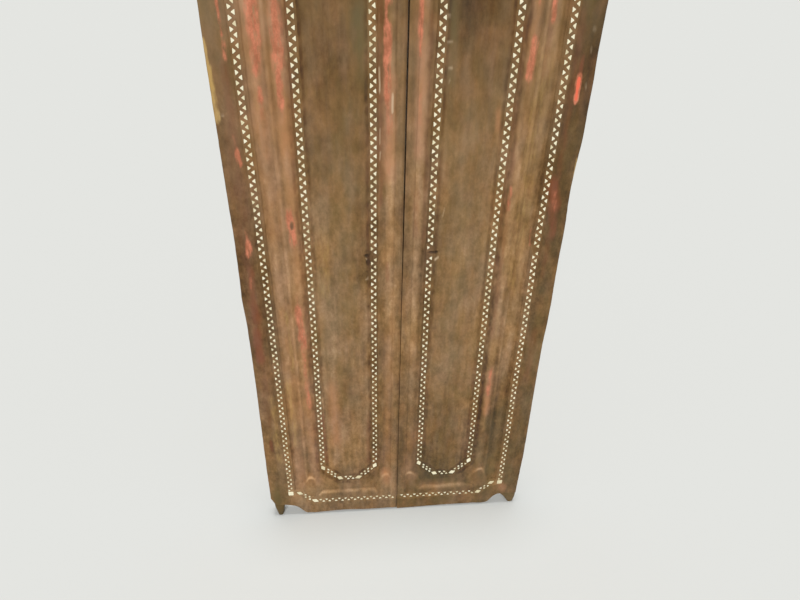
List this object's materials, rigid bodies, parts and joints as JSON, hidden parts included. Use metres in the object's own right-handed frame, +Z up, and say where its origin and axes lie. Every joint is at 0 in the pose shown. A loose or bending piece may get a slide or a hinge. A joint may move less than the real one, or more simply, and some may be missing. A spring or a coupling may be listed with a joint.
{
  "type": "carved double door",
  "caption": "Pair of old carved wooden door leaves with reeded mouldings, sunk panels and zigzag rows of shell inlay, each leaf turning on pintles at its outer corners.",
  "frame": {"origin": "bottom centre of the pair, on the plane of the foot pintles' tips, at the middle of the thickness", "axes": "+X across the pair to the right leaf, +Y through the doorway away from the carved face, +Z up"},
  "size_m": [0.8, 0.038, 1.916],
  "materials": {
    "aged_wood": "worn, oiled, with traces of old paint",
    "shell": "polished shell, slightly yellowed"
  },
  "bodies": {
    "left_leaf_body": {"left_leaf": "aged_wood", "left_border_side_shells": "shell", "left_border_foot_shells": "shell", "left_border_head_shells": "shell", "left_border_corner_shells": "shell", "left_panel_outer_shells": "shell", "left_panel_inner_shells": "shell", "left_panel_foot_shells": "shell", "left_panel_head_shells": "shell", "left_panel_corner_shells": "shell"},
    "right_leaf_body": {"right_leaf": "aged_wood", "right_border_side_shells": "shell", "right_border_foot_shells": "shell", "right_border_head_shells": "shell", "right_border_corner_shells": "shell", "right_panel_outer_shells": "shell", "right_panel_inner_shells": "shell", "right_panel_foot_shells": "shell", "right_panel_head_shells": "shell", "right_panel_corner_shells": "shell"}
  },
  "joints": [
    {"name": "right_leaf_swing", "type": "hinge", "parent": "left_leaf_body", "child": "right_leaf_body", "pos_m": [0.382, 0, 0], "axis": [0, 0, -1], "range_deg": [0, 100]}
  ]
}
